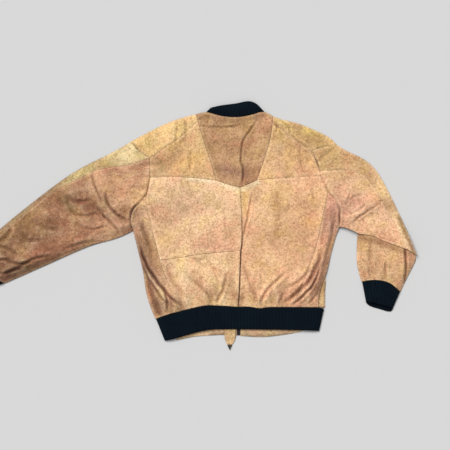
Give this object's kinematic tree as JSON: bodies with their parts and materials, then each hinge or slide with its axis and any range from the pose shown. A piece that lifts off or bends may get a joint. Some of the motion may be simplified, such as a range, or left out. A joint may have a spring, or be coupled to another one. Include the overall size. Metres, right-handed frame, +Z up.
{
  "type": "leather bomber jacket",
  "caption": "Worn tan suede bomber jacket laid flat with its back up, pieced from leather panels, with dark knitted collar, cuffs and hem rib and one sleeve bent at the elbow.",
  "frame": {"origin": "on the supporting surface, under the middle of the laid jacket's bounding box", "axes": "+X towards the wearer's right sleeve, +Y towards the collar, +Z up from the surface; the jacket lies back side up"},
  "size_m": [1.3106, 0.7232, 0.0228],
  "materials": {
    "leather_tan": "worn tan suede, mottled and speckled",
    "leather_rose": "worn rosy brown suede, mottled and speckled",
    "leather_yellow": "worn yellow tan suede, mottled and speckled",
    "leather_brown": "worn brown suede, mottled and speckled",
    "rib_knit": "near-black rib knit",
    "zip_tape": "woven tape with a dark metal chain",
    "dark_metal": "worn dark metal"
  },
  "bodies": {
    "root": {"yoke_centre": "leather_brown", "yoke_left": "leather_tan", "yoke_right": "leather_tan", "shoulder_left": "leather_yellow", "shoulder_right": "leather_yellow", "back_left_upper": "leather_tan", "back_left_lower": "leather_tan", "back_right": "leather_tan", "side_left": "leather_rose", "side_right": "leather_rose", "sleeve_left_top": "leather_yellow", "sleeve_left_back": "leather_rose", "sleeve_right_top": "leather_yellow", "sleeve_right_back": "leather_tan", "forearm_right_back": "leather_tan", "front_left": "leather_yellow", "front_right": "leather_yellow", "sleeve_left_front": "leather_rose", "sleeve_right_front": "leather_tan", "forearm_right_front": "leather_tan", "collar": "rib_knit", "hem_rib": "rib_knit", "cuff_left": "rib_knit", "cuff_right": "rib_knit", "hem_band_left": "leather_tan", "hem_band_right": "leather_tan", "zip": "zip_tape", "zip_slider": "dark_metal", "hem_tab": "leather_tan", "hem_tab_tip": "dark_metal"}
  },
  "joints": []
}
